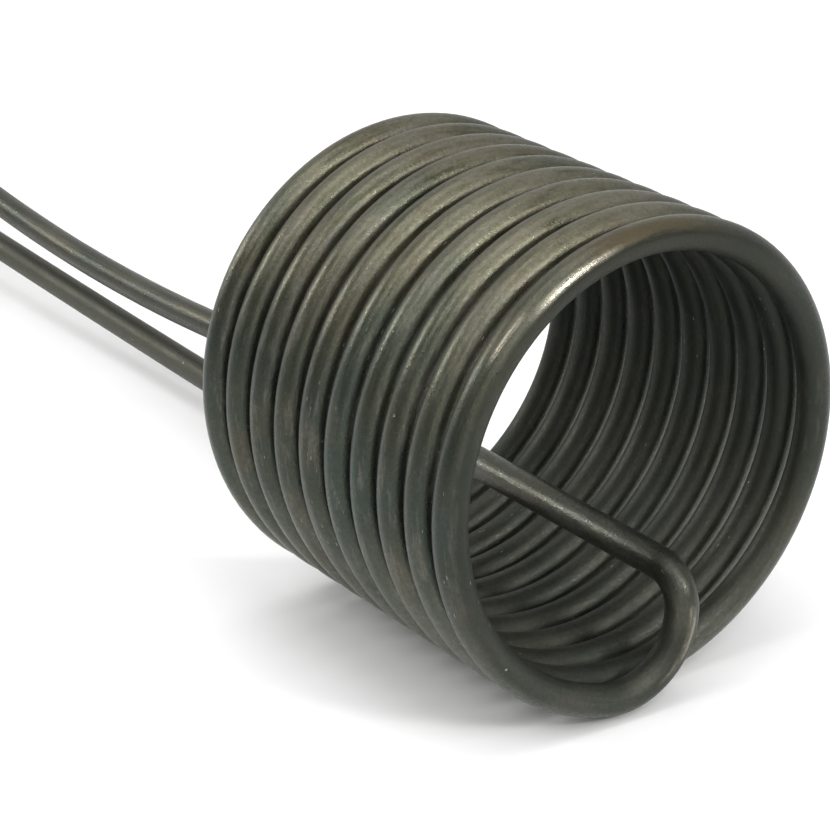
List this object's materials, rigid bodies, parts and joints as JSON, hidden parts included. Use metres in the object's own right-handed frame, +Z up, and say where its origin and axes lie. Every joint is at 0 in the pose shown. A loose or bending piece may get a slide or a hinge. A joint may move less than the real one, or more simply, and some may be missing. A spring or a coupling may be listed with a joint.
{
  "type": "immersion wort chiller",
  "caption": "Immersion wort chiller: a stainless tube coil with both leads leaving one end and a brass hose fitting on each lead, lying on its side.",
  "frame": {"origin": "on the plane that the chiller rests on, under the middle of the coil", "axes": "+Y along the coil's axis from the curl end to the end where the leads leave, +Z up as the chiller lies on its side, +X to the right seen from the curl end"},
  "size_m": [0.1402, 0.5208, 0.1401],
  "materials": {
    "stainless_tube": "heat-darkened, satin",
    "brass": "turned, satin",
    "black_rubber": "moulded, matt"
  },
  "bodies": {
    "coil_and_fittings": {"coil_tube": "stainless_tube", "inlet_compression_nut": "brass", "inlet_ferrule": "brass", "inlet_body": "brass", "outlet_compression_nut": "brass", "outlet_ferrule": "brass", "outlet_body": "brass"},
    "hose_nut": {"inlet_hose_nut": "brass", "inlet_hose_washer": "black_rubber"}
  },
  "joints": [
    {"name": "inlet_nut_spin", "type": "hinge", "parent": "coil_and_fittings", "child": "hose_nut", "pos_m": [0.02829, 0.43382, 0.01607], "axis": [0.2675, 0.963, -0.0322], "continuous": true}
  ]
}
